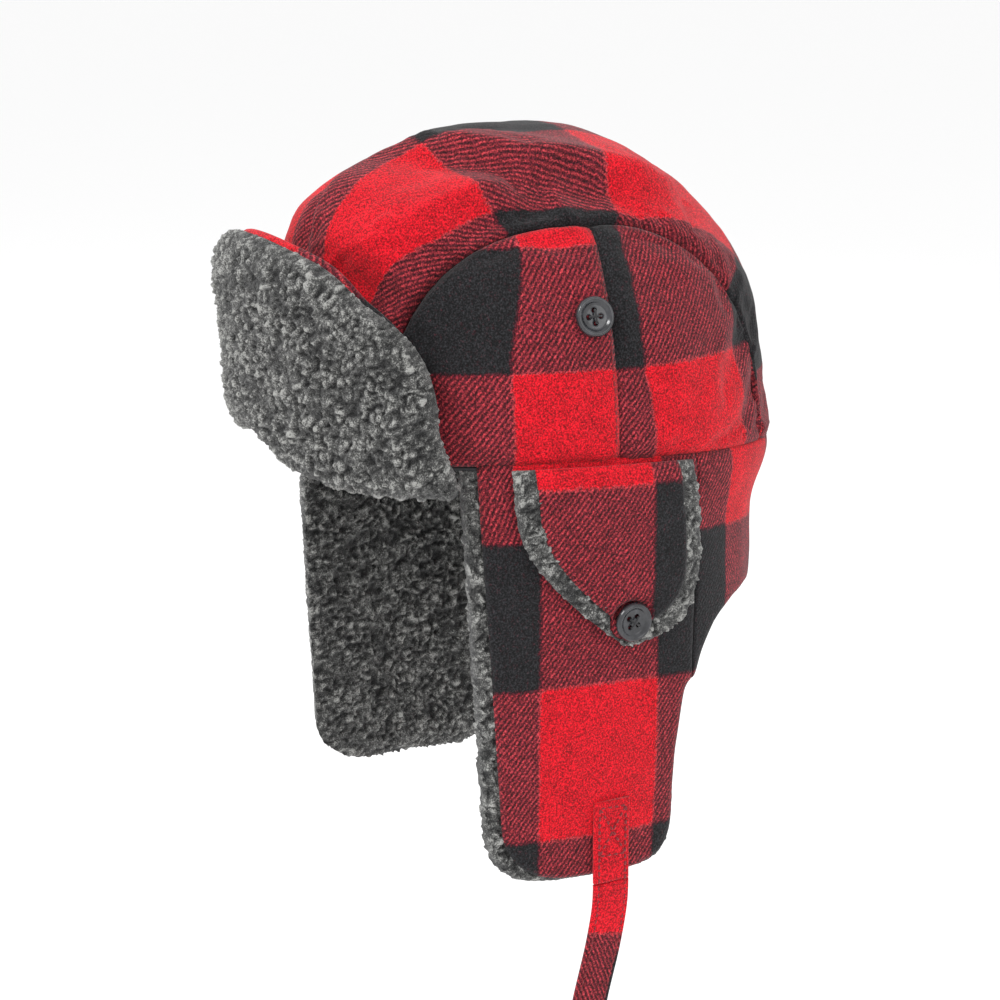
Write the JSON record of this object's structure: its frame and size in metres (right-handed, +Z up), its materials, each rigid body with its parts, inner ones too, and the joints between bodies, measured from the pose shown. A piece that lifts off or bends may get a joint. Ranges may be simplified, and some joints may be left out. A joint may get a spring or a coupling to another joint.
{
  "type": "trapper hat",
  "caption": "A padded plaid trapper hat with a folded-up pile visor, pile-lined ear flaps and neck curtain, buttoned vent flaps over the ear ports, and a hanging chin strap.",
  "frame": {"origin": "centre of the head opening, at the height of the brow seam in front", "axes": "+X is the wearer's left, -Y is the front and +Z is up"},
  "size_m": [0.2098, 0.2458, 0.533],
  "materials": {
    "plaid": "brushed twill in a red, burgundy and charcoal buffalo check, with turned and stitched edges",
    "sherpa": "grey curly pile about 7 mm deep",
    "batting": "bonded polyester wadding",
    "lining": "quilted charcoal taffeta",
    "sweatband": "black cotton twill tape",
    "button": "dark grey glossy resin with a raised rim and four holes",
    "thread": "black polyester sewing thread",
    "hook_and_loop": "black nylon hook-and-loop tape"
  },
  "bodies": {
    "crown": {"crown_centre_panel": "plaid", "side_panel_front_left": "plaid", "side_panel_rear_left": "plaid", "side_panel_front_right": "plaid", "side_panel_rear_right": "plaid", "crown_batting": "batting", "crown_lining": "lining", "sweatband": "sweatband", "crown_button_left": "button", "crown_button_thread_left": "thread", "crown_button_right": "button", "crown_button_thread_right": "thread", "neck_curtain_shell": "plaid", "neck_curtain_sherpa": "sherpa"},
    "visor": {"visor_shell": "plaid", "visor_padding": "batting", "visor_sherpa": "sherpa"},
    "ear_flap_left": {"ear_flap_shell_left": "plaid", "ear_flap_sherpa_left": "sherpa", "ear_button_left": "button", "ear_button_thread_left": "thread", "chin_strap_anchor": "plaid"},
    "ear_flap_right": {"ear_flap_shell_right": "plaid", "ear_flap_sherpa_right": "sherpa", "ear_button_right": "button", "ear_button_thread_right": "thread", "strap_loop_patch": "hook_and_loop"},
    "vent_flap_left": {"vent_flap_sherpa_left": "sherpa", "vent_flap_shell_left": "plaid"},
    "vent_flap_right": {"vent_flap_sherpa_right": "sherpa", "vent_flap_shell_right": "plaid"},
    "chin_strap": {"chin_strap": "plaid", "strap_hook_patch": "hook_and_loop"}
  },
  "joints": [
    {"name": "visor_fold", "type": "hinge", "parent": "crown", "child": "visor", "pos_m": [0, -0.104, -0.003], "axis": [1, 0, 0], "range_deg": [-2, 100]},
    {"name": "ear_flap_left_fold", "type": "hinge", "parent": "crown", "child": "ear_flap_left", "pos_m": [0.1005, -0.011, -0.003], "axis": [0.12, 0.9928, 0], "range_deg": [-150, 6]},
    {"name": "ear_flap_right_fold", "type": "hinge", "parent": "crown", "child": "ear_flap_right", "pos_m": [-0.1005, -0.011, -0.003], "axis": [0.12, -0.9928, 0], "range_deg": [-150, 6]},
    {"name": "vent_flap_left_fold", "type": "hinge", "parent": "ear_flap_left", "child": "vent_flap_left", "pos_m": [0.0998, -0.0105, -0.0034], "axis": [-0.0397, -0.9944, -0.0982], "range_deg": [0, 186]},
    {"name": "vent_flap_right_fold", "type": "hinge", "parent": "ear_flap_right", "child": "vent_flap_right", "pos_m": [-0.0998, -0.0105, -0.0034], "axis": [-0.0397, 0.9944, 0.0982], "range_deg": [0, 186]},
    {"name": "chin_strap_swing", "type": "hinge", "parent": "ear_flap_left", "child": "chin_strap", "pos_m": [0.0924, -0.009, -0.1847], "axis": [0, 1, 0], "range_deg": [-60, 75]}
  ]
}
